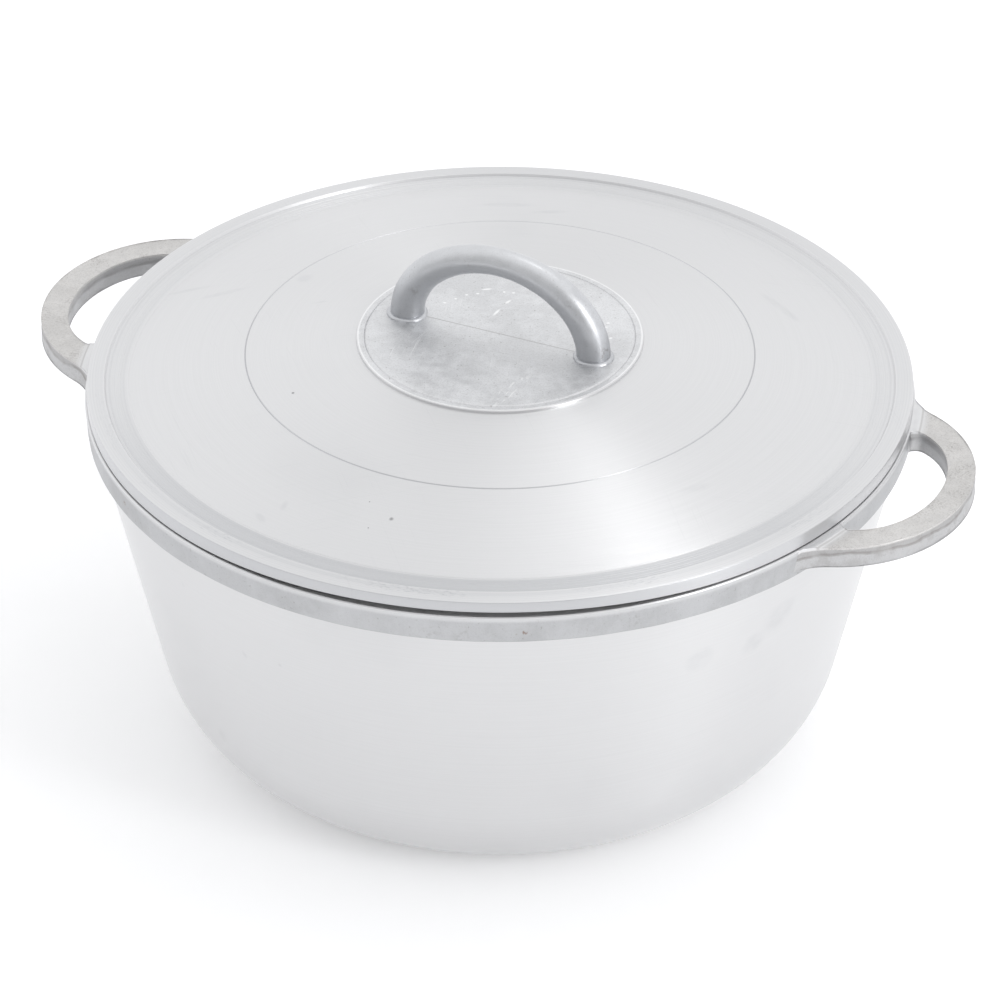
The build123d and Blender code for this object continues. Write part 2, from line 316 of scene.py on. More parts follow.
class Surface:
    """One material's node tree, with short ways to add and join nodes. base is its colour so far."""

    def __init__(self, name):
        self.material = bpy.data.materials.new(name)
        self.material.use_nodes = True
        self.tree = self.material.node_tree
        self.tree.nodes.clear()
        self.point = self.add("ShaderNodeTexCoord").outputs["Object"]
        split = self.add("ShaderNodeSeparateXYZ", Vector=self.point)
        self.x, self.y, self.z = split.outputs
        self.radius = self.math("SQRT", self.sum_of_squares(self.x, self.y))
        self.base = None

    def add(self, kind, settings=None, **inputs):
        """Adds a node, sets its options, and sets or links its inputs."""
        made = self.tree.nodes.new(kind)
        for key, value in (settings or {}).items():
            setattr(made, key, value)
        for key, value in inputs.items():
            self.feed(made.inputs[key.replace("_", " ")], value)
        return made

    def feed(self, socket, value):
        """Links a socket to an output, or sets its constant."""
        if isinstance(value, bpy.types.NodeSocket):
            self.tree.links.new(value, socket)
        else:
            socket.default_value = value

    def math(self, operation, *values, clamp=False):
        """One Math node's result."""
        made = self.add("ShaderNodeMath", {"operation": operation, "use_clamp": clamp})
        for socket, value in zip(made.inputs, values):
            self.feed(socket, value)
        return made.outputs[0]

    def sum_of_squares(self, a, b):
        return self.math("ADD", self.product(a, a), self.product(b, b))

    def facing(self):
        """The direction in which the surface faces, as its x, y and z."""
        geometry = self.add("ShaderNodeNewGeometry")
        return self.add("ShaderNodeSeparateXYZ", Vector=geometry.outputs["Normal"]).outputs

    def along(self, x_share, y_share, z_share):
        """The point with each coordinate scaled, for a stretched pattern."""
        made = self.add("ShaderNodeVectorMath", {"operation": "MULTIPLY"})
        self.feed(made.inputs[0], self.point)
        made.inputs[1].default_value = (x_share, y_share, z_share)
        return made.outputs[0]

    def noise(self, scale, detail=2.0, vector=None, roughness=0.5):
        """Soft three-dimensional noise, from 0 to 1."""
        made = self.add(
            "ShaderNodeTexNoise", Vector=vector or self.point, Scale=scale, Detail=detail,
            Roughness=roughness,
        )
        return made.outputs["Fac"]

    def lines(self, value, per_metre, detail=1.0):
        """Noise along one value only, such as the rings that a tool leaves."""
        made = self.add(
            "ShaderNodeTexNoise", {"noise_dimensions": "1D"}, W=value, Scale=per_metre, Detail=detail
        )
        return made.outputs["Fac"]

    def fit(self, value, low, high, out_low=0.0, out_high=1.0):
        """Maps low..high smoothly to out_low..out_high, and holds the ends."""
        made = self.add(
            "ShaderNodeMapRange", {"interpolation_type": "SMOOTHSTEP"}, Value=value, From_Min=low,
            From_Max=high, To_Min=out_low, To_Max=out_high,
        )
        return made.outputs["Result"]

    def band(self, value, centre, half, soft):
        """1 within half of centre, fading to 0 over soft."""
        off = self.math("ABSOLUTE", self.math("SUBTRACT", value, centre))
        return self.fit(off, half, half + soft, 1.0, 0.0)

    def spot(self, x, y, z, long, wide, turned_by=0.0):
        """1 at a place, fading to 0 at an ellipsoid round it that is long along one direction."""
        dx, dy = self.math("SUBTRACT", self.x, x), self.math("SUBTRACT", self.y, y)
        dz = self.math("DIVIDE", self.math("SUBTRACT", self.z, z), max(long, wide))
        c, d = cos(turned_by), sin(turned_by)
        u = self.math("ADD", self.product(dx, c / long), self.product(dy, d / long))
        v = self.math("SUBTRACT", self.product(dy, c / wide), self.product(dx, d / wide))
        square = self.math("ADD", self.sum_of_squares(u, v), self.product(dz, dz))
        return self.fit(self.math("SQRT", square), 0.3, 1.0, 1.0, 0.0)

    def product(self, *values):
        """All values multiplied."""
        result = values[0]
        for value in values[1:]:
            result = self.math("MULTIPLY", result, value)
        return result

    def total(self, *values):
        """All values added, and held to 1."""
        result = values[0]
        for value in values[1:]:
            result = self.math("ADD", result, value, clamp=True)
        return result

    def mix(self, share_of_b, a, b):
        """Blends two colours."""
        made = self.add("ShaderNodeMix", {"data_type": "RGBA", "clamp_factor": True})
        self.feed(made.inputs["Factor"], share_of_b)
        a_socket, b_socket = [s for s in made.inputs if s.type == "RGBA"]
        self.feed(a_socket, a if isinstance(a, bpy.types.NodeSocket) else (*a, 1.0))
        self.feed(b_socket, b if isinstance(b, bpy.types.NodeSocket) else (*b, 1.0))
        return [s for s in made.outputs if s.type == "RGBA"][0]

    def paint(self, colour, *shares):
        """Lays a colour over the base colour, as strongly as the product of its shares."""
        self.base = self.mix(self.product(*shares), self.base, colour)

    def bump(self, height, distance, strength=1.0, normal=None):
        """A bump whose height, from 0 to 1, stands for distance in metres."""
        made = self.add("ShaderNodeBump", Height=height, Distance=distance, Strength=strength)
        if normal is not None:
            self.feed(made.inputs["Normal"], normal)
        return made.outputs["Normal"]

    def finish(self, roughness, normal, anisotropy=0.0, rotation=0.0):
        """Joins everything to a metal shader."""
        shader = self.add(
            "ShaderNodeBsdfPrincipled", Base_Color=self.base, Roughness=roughness, Normal=normal,
            Metallic=1.0, Anisotropic=anisotropy, Anisotropic_Rotation=rotation,
        )
        if anisotropy:
            round_axis = self.add("ShaderNodeVectorMath", {"operation": "CROSS_PRODUCT"})
            round_axis.inputs[0].default_value = (0.0, 0.0, 1.0)
            self.feed(round_axis.inputs[1], self.point)
            unit = self.add("ShaderNodeVectorMath", {"operation": "NORMALIZE"})
            self.feed(unit.inputs[0], round_axis.outputs[0])
            self.feed(shader.inputs["Tangent"], unit.outputs[0])
        output = self.add("ShaderNodeOutputMaterial")
        self.tree.links.new(shader.outputs[0], output.inputs["Surface"])
        return self.material


def tool_lines(s):
    """Height of the rings that the lathe left, from 0 to 1, uneven round each ring."""
    section = s.math("ADD", s.radius, s.z)
    fine = s.lines(section, 2300.0)
    medium = s.lines(section, 520.0, 2.0)
    trail = s.add("ShaderNodeCombineXYZ", X=s.x, Y=s.y, Z=s.product(section, 60.0))
    streak = s.noise(30.0, 2.0, vector=trail.outputs[0])
    return s.total(s.product(fine, 0.4), s.product(medium, 0.2), s.product(streak, 0.4))


def hairlines(s, direction, fineness, patch):
    """Straight fine scratches in one direction, kept to patches."""
    c, d = cos(direction), sin(direction)
    along = s.math("ADD", s.product(s.x, c), s.product(s.y, d))
    across = s.math("SUBTRACT", s.product(s.y, c), s.product(s.x, d))
    at = s.add(
        "ShaderNodeCombineXYZ", X=s.product(along, 26.0), Y=s.product(across, fineness),
        Z=s.product(s.z, 26.0),
    )
    cuts = s.fit(s.noise(1.0, 1.0, vector=at.outputs[0]), 0.66, 0.72)
    return s.product(cuts, s.fit(s.noise(patch, 1.0), 0.5, 0.62))


def front_share(s):
    """1 at the lid's front edge, fading towards the back."""
    ahead = s.math("SUBTRACT", s.product(s.x, 0.25), s.product(s.y, 0.97))
    return s.fit(ahead, 20 * MM, 155 * MM, 0.12, 1.0)


def turned_metal(name, finish, smudges=(), pits=(), scuffed=None, shaded_rings=(), scribed=None):
    """Lathe-turned aluminium: concentric tool lines that stretch each highlight across them.

    smudges are (x, y, z, long, wide, turned by) and pits are (x, y, z, radius), in millimetres;
    each pit is darkened with painted shade. scuffed is the (radius, half width) of a ring that
    knocks and rubbing have marked; the next list gives the (radius, half width, share) of rings
    darkened with painted shade, most at the lid's front; scribed is the radius of a scribed line
    darkened with painted shade. These three are in metres.
    """
    s = Surface(name)
    tool = tool_lines(s)
    s.base = s.mix(s.fit(tool, 0.35, 0.65), toned(finish.turned, 0.965), finish.turned)
    # Painted shade: each of these rings is darkened, most at the lid's front and fading towards its
    # back.
    for r, half, shade_share in shaded_rings:
        s.paint(finish.smudge_and_shade, s.band(s.radius, r, half, 0.3 * MM), front_share(s), shade_share)
    if shaded_rings:
        cut_from = shaded_rings[0][0] - shaded_rings[0][1]
        lined = s.fit(s.lines(s.radius, 850.0), 0.35, 0.65, 0.0, 0.12)
        s.paint(finish.smudge_and_shade, lined, s.fit(s.radius, cut_from, cut_from + 1 * MM))
    # Painted shade along the scribed groove.
    if scribed:
        s.paint(finish.smudge_and_shade, s.band(s.radius, scribed, 0.15 * MM, 0.35 * MM), 0.5)
    worn = s.product(s.fit(s.noise(11.0, 3.0), 0.55, 0.8), 0.08)
    for *size, turned_by in smudges:
        mark = s.spot(*(value * MM for value in size), turned_by)
        soft = s.fit(s.noise(140.0, 3.0), 0.3, 0.7, 0.35, 1.0)
        worn = s.total(worn, s.product(mark, soft, 0.17))
    if scuffed:
        scratch = s.total(hairlines(s, 0.5, 1500.0, 22.0), hairlines(s, 2.3, 1300.0, 18.0))
        worn = s.total(worn, s.product(scratch, 0.06))
        ring = s.band(s.radius, *scuffed, 1.5 * MM)
        trail = s.add(
            "ShaderNodeCombineXYZ", X=s.product(s.radius, 1500.0), Y=s.product(s.x, 420.0),
            Z=s.product(s.y, 420.0),
        )
        flakes = s.fit(s.noise(1.0, 3.0, vector=trail.outputs[0]), 0.5, 0.66)
        knocks = s.product(s.fit(s.noise(19.0, 2.0), 0.48, 0.66), flakes, front_share(s))
        worn = s.total(worn, s.product(ring, knocks, 0.36))
    s.paint(finish.smudge_and_shade, worn)
    roughness = s.fit(tool, 0.3, 0.7, finish.turned_gloss - 0.04, finish.turned_gloss + 0.05)
    roughness = s.math("ADD", roughness, s.product(worn, 0.2))
    normal = s.bump(tool, 0.02 * MM, 0.7)
    if pits:
        hole = s.total(*(s.spot(x * MM, y * MM, z * MM, r * MM, r * MM) for x, y, z, r in pits))
        # Painted shade: each pit is darkened where the shade inside the hole falls.
        s.paint(PIT_SHADE, hole, 0.75)
        dent = s.math("SUBTRACT", 1.0, s.math("MAXIMUM", hole, s.product(worn, 0.4)))
        normal = s.bump(dent, 0.3 * MM, 0.5, normal)
    return s.finish(roughness, normal, finish.lay, 0.25)


def cast_skin(s, finish, tone, sand=0.0, coarse=0.16):
    """Gives sand-cast metal its colour, and returns its roughness and height.

    tone is its colour, sand is how much burnt sand it holds, and coarse is how dark its grain is.
    """
    blotch = s.noise(38.0, 3.0)
    mottle = s.noise(210.0, 4.0, roughness=0.6)
    grain = s.noise(1500.0, 2.0, roughness=0.7)
    speck = s.noise(760.0, 2.0)
    tones = s.math("ADD", s.product(blotch, 0.5), s.product(mottle, 0.5))
    s.base = s.mix(s.fit(tones, 0.38, 0.62), toned(tone, 0.93), toned(tone, 1.07))
    s.paint(finish.stain_and_shade, s.fit(grain, 0.42, 0.72, 0.0, coarse))
    s.paint(finish.stain_and_shade, s.fit(speck, 0.66, 0.74, 0.0, 0.35))
    clumps = s.fit(s.noise(26.0, 2.0), 0.63, 0.70)
    s.paint(finish.stain_and_shade, clumps, s.fit(s.noise(430.0, 2.0), 0.56, 0.68), sand)
    roughness = s.fit(mottle, 0.3, 0.7, finish.cast_gloss - 0.05, finish.cast_gloss + 0.07)
    smooth = s.math("SUBTRACT", 1.0, s.fit(speck, 0.62, 0.72))
    height = s.total(s.product(mottle, 0.5), s.product(grain, 0.25), s.product(smooth, 0.25))
    return roughness, height


def cast_band(finish):
    """The rim's as-cast outside, with drips and a trace of rust-brown burnt sand."""
    s = Surface("Cast rim")
    roughness, height = cast_skin(s, finish, finish.band, sand=0.2, coarse=0.1)
    drips = s.fit(s.noise(1.0, 2.0, vector=s.along(330.0, 330.0, 60.0)), 0.55, 0.72)
    s.paint(toned(finish.band, 1.3), drips, 0.12)
    s.paint(toned(finish.band, 1.35), s.fit(s.noise(17.0, 2.0), 0.42, 0.62), 0.16)
    s.paint(finish.turned, s.fit(s.z, RIM_TOP - 3.4 * MM, RIM_TOP - 1.4 * MM), 0.55)
    for angle, z, wide in (
        (-62.2, 5.2, 1.7), (-63.3, 4.2, 1.0), (-128.0, 6.5, 1.5), (-127.0, 5.5, 0.9), (147.0, 7.0, 1.4),
    ):
        x, y = BAND_R * cos(radians(angle)), BAND_R * sin(radians(angle))
        mark = s.spot(x, y, BOWL_TOP + z * MM, wide * MM, wide * MM)
        s.paint(RUST, mark, s.fit(s.noise(1100.0, 1.0), 0.36, 0.52), 0.9)
    return s.finish(roughness, s.bump(height, 0.16 * MM, 0.6))


def cast_ear(finish, facing):
    """An ear's as-cast skin, which the facing cut has taken off next to the rim, with painted shade on
    its sides, along its parting seam and at the facing step.
    """
    s = Surface("Cast ear")
    roughness, height = cast_skin(s, finish, finish.ear, sand=0.6, coarse=0.2)
    sandy = s.fit(s.noise(60.0, 2.0), 0.48, 0.62)
    s.paint(finish.stain_and_shade, sandy, s.fit(s.noise(1250.0, 1.0), 0.5, 0.62), 0.25)
    # Painted shade: the ear's sides, below its top, are darkened.
    flank = s.fit(s.z, RIM_TOP - 2.2 * MM, RIM_TOP - 1.2 * MM, 1.0, 0.0)
    s.paint(finish.smudge_and_shade, flank, 0.55)
    normal_x, normal_y, _ = s.facing()
    sideways = s.product(s.math("SIGN", s.x), normal_x)
    from_hole = s.math("SUBTRACT", s.math("ABSOLUTE", s.x), 190 * MM)
    away = s.total(s.product(from_hole, sideways), s.product(s.y, normal_y))
    outside = s.fit(away, -2 * MM, 2 * MM)
    # Painted shadow: a dark line along the wavy parting seam on the outer side.
    wavy_z = s.math("ADD", s.z, s.fit(s.noise(55.0, 2.0), 0.3, 0.7, -0.8 * MM, 0.8 * MM))
    seam = s.band(wavy_z, RIM_TOP - 3.9 * MM, 0.35 * MM, 0.6 * MM)
    broken = s.fit(s.noise(120.0, 2.0), 0.35, 0.6, 0.25, 1.0)
    s.paint(finish.stain_and_shade, seam, broken, outside, 0.42)
    # Painted shade: a darker band on the outer side between the seam and the top.
    shade_above_seam = s.fit(wavy_z, RIM_TOP - 4.3 * MM, RIM_TOP - 3.6 * MM)
    s.paint(finish.stain_and_shade, shade_above_seam, flank, outside, 0.24)
    grime = s.fit(s.noise(150.0, 4.0, roughness=0.65), 0.48, 0.66)
    s.paint(finish.stain_and_shade, grime, flank, outside, 0.2)
    top = s.math("SUBTRACT", 1.0, flank)
    faced = s.product(s.fit(s.radius, facing - 1.2 * MM, facing + 4.5 * MM, 1.0, 0.0), top)
    s.paint(finish.turned, faced)
    # Painted shadow: a dark line at the foot of the step that the facing cut left.
    s.paint(finish.stain_and_shade, s.band(s.radius, facing, 0.15 * MM, 0.5 * MM), top, 0.26)
    height = s.product(height, s.fit(faced, 0.0, 1.0, 1.0, 0.15))
    return s.finish(roughness, s.bump(height, 0.18 * MM, 0.7))


def cast_hub(finish, line):
    """The hub's skin, with its parting line, handling scratches, bright nicks, painted shade in its
    groove and a painted highlight along its edge.
    """
    s = Surface("Cast hub")
    roughness, height = cast_skin(s, finish, finish.hub)
    bright = toned(finish.hub, 1.45)
    fan = s.product(
        s.total(hairlines(s, 1.45, 1500.0, 60.0), hairlines(s, 1.75, 1300.0, 50.0)),
        s.spot(-35 * MM, -32 * MM, HUB_TOP, 28 * MM, 13 * MM, 1.6),
    )
    slant = s.product(
        s.fit(s.noise(1.0, 3.0, vector=s.along(620.0, 200.0, 1.0)), 0.5, 0.62),
        s.spot(23 * MM, -40 * MM, HUB_TOP, 22 * MM, 5 * MM, 1.44),
    )
    stray = s.total(hairlines(s, 0.9, 1100.0, 30.0), hairlines(s, 1.9, 1000.0, 26.0))
    s.paint(bright, s.total(s.product(fan, 0.9), s.product(slant, 0.5), s.product(stray, 0.12)))
    for x, y, long, turned_by in (
        (-33, 14, 1.1, 0.4), (-30, 19, 0.9, 0.5), (-27, 24, 1.0, 0.5), (-23, 27, 1.1, 0.5),
        (-21, 32, 3.2, 0.6), (-13, 33, 0.9, 0.0), (-9, 34, 1.1, 0.8), (20, 42, 0.9, 0.2),
        (26, 38, 1.8, 0.75), (33, 30, 1.8, 0.7), (39, 28, 1.1, 0.1), (39, 24, 2.0, 0.5),
        (45, 17, 1.2, 0.9), (-9, 16, 4.0, 1.5), (-8, 26, 2.6, 1.3),
    ):
        s.paint(bright, s.spot(x * MM, y * MM, HUB_TOP, long * MM, 0.9 * MM, turned_by), 0.7)
    parting = s.product(
        s.band(s.y, 0.3 * MM, 0.12 * MM, 0.3 * MM), s.fit(s.radius, 34 * MM, 38 * MM, 1.0, 0.0)
    )
    # Painted shade: a faint darkening along the turned groove.
    groove_line = s.band(s.radius, line, 0.2 * MM, 0.35 * MM)
    s.paint(finish.stain_and_shade, s.total(s.product(parting, 0.35), s.product(groove_line, 0.04)))
    # Painted highlight: a bright ring just inside the hub's chamfer.
    s.paint(bright, s.fit(s.radius, HUB_R - 1.6 * MM, HUB_R - 0.9 * MM), 0.6)
    roughness = s.math("ADD", roughness, 0.05)
    height = s.math("ADD", s.product(height, 0.9), s.product(parting, 0.5))
    return s.finish(roughness, s.bump(height, 0.14 * MM, 0.55))


def cast_grip(finish):
    """The grip's smoother skin, with painted light on its upper part and painted shade underneath."""
    s = Surface("Cast grip")
    roughness, height = cast_skin(s, finish, finish.grip)
    # Painted light: the grip is lightened towards the hub's tone up its arch.
    s.paint(finish.hub, s.fit(s.z, HUB_TOP + 16 * MM, HUB_TOP + 40 * MM), 0.45)
    # Painted shade: faces that turn downwards are darkened.
    under = s.fit(s.facing()["Z"], 0.1, 0.6, 1.0, 0.0)
    s.paint(finish.smudge_and_shade, under, 0.62)
    patches = s.fit(s.noise(45.0, 2.0), 0.52, 0.64)
    s.paint(finish.stain_and_shade, patches, s.fit(s.noise(640.0, 3.0), 0.5, 0.64), under, 0.5)
    flash = s.product(
        s.band(s.y, 6.1 * MM, 0.2 * MM, 0.4 * MM), s.fit(s.x, 2 * MM, 12 * MM),
        s.fit(s.noise(70.0, 2.0), 0.35, 0.6, 0.3, 1.0),
    )
    s.paint(finish.stain_and_shade, flash, 0.5)
    roughness = s.math("SUBTRACT", roughness, 0.08)
    height = s.math("ADD", s.product(height, 0.8), s.product(flash, 0.8))
    return s.finish(roughness, s.bump(height, 0.14 * MM, 0.6))


# ------------------------------------------------------------------ operators
class STOCKPOT_OT_bowl(bpy.types.Operator):
    """Turn the bowl: flat base, rounded lower corner and leaning wall"""

    bl_idname = "stockpot.bowl"
    bl_label = "Turned bowl"

    def execute(self, context):
        pot = context.scene.stock_pot
        sizes = pot.bowl
        lean = sizes.draft
        across = sizes.wall / cos(lean)
        corner_top = sizes.corner_height - sizes.corner * sin(lean)
        wall_r = sizes.wall_top - (BOWL_TOP - corner_top) * tan(lean)
        centre = (wall_r - sizes.corner * cos(lean), sizes.corner_height)
        blend = sizes.base_blend
        blend_r = centre[0] + sqrt((sizes.corner - blend) ** 2 - (sizes.corner_height - blend) ** 2)
        meet = atan2(blend - centre[1], blend_r - centre[0])
        inner_wall_r = sizes.wall_top - (BOWL_TOP - sizes.base) * tan(lean) - across
        inner_height = sizes.base + sizes.inner_corner
        inner_r = inner_wall_r + sizes.inner_corner * (tan(lean) - 1 / cos(lean))
        section = (
            run((0.0, 0.0), (blend_r, 0.0), 12)
            + arc((blend_r, blend), blend, -pi / 2, meet, 10)
            + arc(centre, sizes.corner, meet, -lean, 18)[1:]
            + run((wall_r, corner_top), (sizes.wall_top, BOWL_TOP), 16)[1:]
            + [(sizes.wall_top, BOWL_TOP)]
            + [(sizes.wall_top - across, BOWL_TOP)]
            + arc((inner_r, inner_height), sizes.inner_corner, -lean, -pi / 2, 24)
            + run((inner_r, sizes.base), (0.0, sizes.base), 12)[1:]
            + [(0.0, sizes.base)]
        )
        bm = turn(section, closed=False)
        smears = (
            (158, -63, 128, 13, 6, 0.9), (152, -74, 118, 8, 5, 0.9), (138, -99, 121, 9, 7, 0.8),
            (-72, -133, 44, 5, 2.4, -0.9), (-79, -153, 132, 2, 1.2, 0), (-46, -160, 110, 3, 1, 0.3),
            (-27, -165, 113, 1.4, 1.2, 0), (60, 150, 96, 12, 5, -0.4), (-140, 80, 120, 9, 4, 1.0),
        )
        metal = turned_metal("Turned bowl", pot.finish, smears)
        place(bm, "Turned_bowl", "pot", ["pot_body"], [metal])
        return {"FINISHED"}


class STOCKPOT_OT_rim(bpy.types.Operator):
    """Make the rim: as-cast band outside, turned face on top and rebate for the lid"""

    bl_idname = "stockpot.rim"
    bl_label = "Rim band"

    def execute(self, context):
        pot = context.scene.stock_pot
        sizes = pot.bowl
        low_r = BAND_R - sizes.band_draft
        inner_r = sizes.wall_top - sizes.wall / cos(sizes.draft)
        section = (
            run((inner_r, BOWL_TOP), (low_r, BOWL_TOP), 2)
            + run((low_r, BOWL_TOP), (BAND_R - SKIN, RIM_TOP), 6)
            + [(BAND_R - SKIN, RIM_TOP)]
            + [(sizes.seat, RIM_TOP), (sizes.seat, SEAT_Z), (sizes.mouth, SEAT_Z)]
            + [(sizes.mouth, BOWL_TOP + sizes.mouth_lead)]
        )
        bm = turn(section)
        soften(
            bm,
            (BAND_R - SKIN, RIM_TOP, 0.7 * MM, 3),
            (sizes.seat, RIM_TOP, 0.5 * MM, 2),
            (low_r, BOWL_TOP, 0.9 * MM, 3),
        )
        low, high = low_r - 1.5 * MM, RIM_TOP - 0.8 * MM
        outside = [v for v in bm.verts if v.co.xy.length > low and v.co.z < high]
        roughen(bm, outside, 0.3 * MM, 22 * MM, 3.0)

        def is_turned(r, z):
            inside = r < sizes.seat + 1 * MM and z > BOWL_TOP + SNAP
            return inside or z > RIM_TOP - 0.75 * MM

        face_materials(bm, is_turned)
        finishes = [cast_band(pot.finish), turned_metal("Turned rim", pot.finish)]
        place(bm, "Rim_band", "pot", ["rim_band"], finishes)
        return {"FINISHED"}


def loop_curve(centre, reach, half_width, corner, side, root_r, bow_steps, corner_steps):
    """Plan points from a loop's tip to the band: half an ellipse, then an arc into the band.

    side is 1 for the outside of the ear and -1 for the edge of its hole.
    """
    def on_ellipse(angle):
        return Vector((centre + reach * cos(angle), half_width * sin(angle)))

    def outward(angle):
        return Vector((cos(angle) / reach, sin(angle) / half_width)).normalized()

    low, high = 0.1, pi
    for _ in range(50):
        last = (low + high) / 2
        middle = on_ellipse(last) + side * corner * outward(last)
        if middle.length > root_r + corner:
            low = last
        else:
            high = last
    start = on_ellipse(last) - middle
    end = -middle
    first = atan2(start.y, start.x)
    swing = (atan2(end.y, end.x) - first + pi) % (2 * pi) - pi
    bow = [on_ellipse(last * step / bow_steps) for step in range(bow_steps + 1)]
    turns = (first + swing * step / corner_steps for step in range(1, corner_steps + 1))
    return bow + [middle + corner * Vector((cos(a), sin(a))) for a in turns]


def slab(bm, wide, deep, place_point, thickness):
    """A flat grid laid out by place_point(u, v), thickened downwards."""
    grid = bmesh.ops.create_grid(bm, x_segments=wide, y_segments=deep, size=1.0)["verts"]
    for v in grid:
        v.co = place_point(v.co.x, v.co.y)
    faces = list({face for v in grid for face in v.link_faces})
    below = bmesh.ops.extrude_face_region(bm, geom=faces)["geom"]
    moved = [item for item in below if isinstance(item, bmesh.types.BMVert)]
    bmesh.ops.translate(bm, vec=(0, 0, -thickness), verts=moved)


def ear_mesh(sizes, seed):
    """One loop ear on +X, with its faced pads."""
    bow_steps, corner_steps, across = 56, 14, 10
    root_r = BAND_R - 1.3 * MM
    reach = EAR_TIP - sizes.centre
    outer = loop_curve(
        sizes.centre, reach, sizes.half_width, sizes.flare, 1, root_r, bow_steps, corner_steps
    )
    inner = loop_curve(
        sizes.hole_centre, sizes.hole_reach, sizes.hole_half_width, sizes.hole_corner, -1, root_r,
        bow_steps, corner_steps,
    )
    stations = bow_steps + corner_steps
    top = RIM_TOP - sizes.drop

    def loop_point(u, v):
        step = min(round(abs(u) * stations), stations)
        at = inner[step].lerp(outer[step], (v + 1) / 2)
        return Vector((at.x, at.y if u > 0 else -at.y, top))

    bm = bmesh.new()
    slab(bm, 2 * stations, across, loop_point, sizes.thickness)
    bmesh.ops.recalc_face_normals(bm, faces=bm.faces)
    rims = [e for e in bm.edges if len(e.link_faces) == 2 and e.calc_face_angle() > radians(60)]
    bevel(bm, rims, sizes.edge, 4)
    upright = [
        e for e in bm.edges
        if abs(e.verts[0].co.z - e.verts[1].co.z) > sizes.thickness - 2.5 * sizes.edge
    ]
    bmesh.ops.subdivide_edges(bm, edges=upright, cuts=9, use_grid_fill=True)
    bm.normal_update()
    parting = top - 0.37 * sizes.thickness
    outside = [v for v in bm.verts if v.co.xy.length > BAND_R]
    for v in outside:
        flank = 1 - min(abs(v.normal.z) / 0.75, 1)
        step_back = 0.3 * MM if v.co.z > parting else 0.04 * (parting - v.co.z)
        v.co.xy -= v.normal.xy * step_back * flank
    roughen(bm, outside, 0.35 * MM, 9 * MM, seed)
    for v in bm.verts:
        if v.co.z > top - 1.2 * sizes.edge:
            beyond = (v.co.xy.length - sizes.facing) / (0.8 * MM)
            lift = min(max(0.5 - beyond, 0.0), 1.0)
            v.co.z = min(v.co.z + lift * (sizes.drop - SKIN), RIM_TOP - SKIN)
    return bm


class STOCKPOT_OT_ears(bpy.types.Operator):
    """Make the two loop ears, with their cast skin and the steps that the facing cut left"""

    bl_idname = "stockpot.ears"
    bl_label = "Ears"

    def execute(self, context):
        pot = context.scene.stock_pot
        skin = cast_ear(pot.finish, pot.ear.facing)
        for node, name, seed in (("ear_right", "Ear_right", 5.0), ("ear_left", "Ear_left", 11.0)):
            bm = ear_mesh(pot.ear, seed)
            if node == "ear_left":
                for v in bm.verts:
                    v.co.x, v.co.y = -v.co.x, -v.co.y
            place(bm, name, "pot", [node], [skin])
        return {"FINISHED"}


def dome_centre(sizes):
    """Height of the centre of the sphere that the lid's dome is turned to."""
    ring_z = LID_LOW + sizes.flange + sizes.ledge_rise - sizes.ring_drop
    return ring_z - sqrt(sizes.dome**2 - sizes.dome_foot**2)


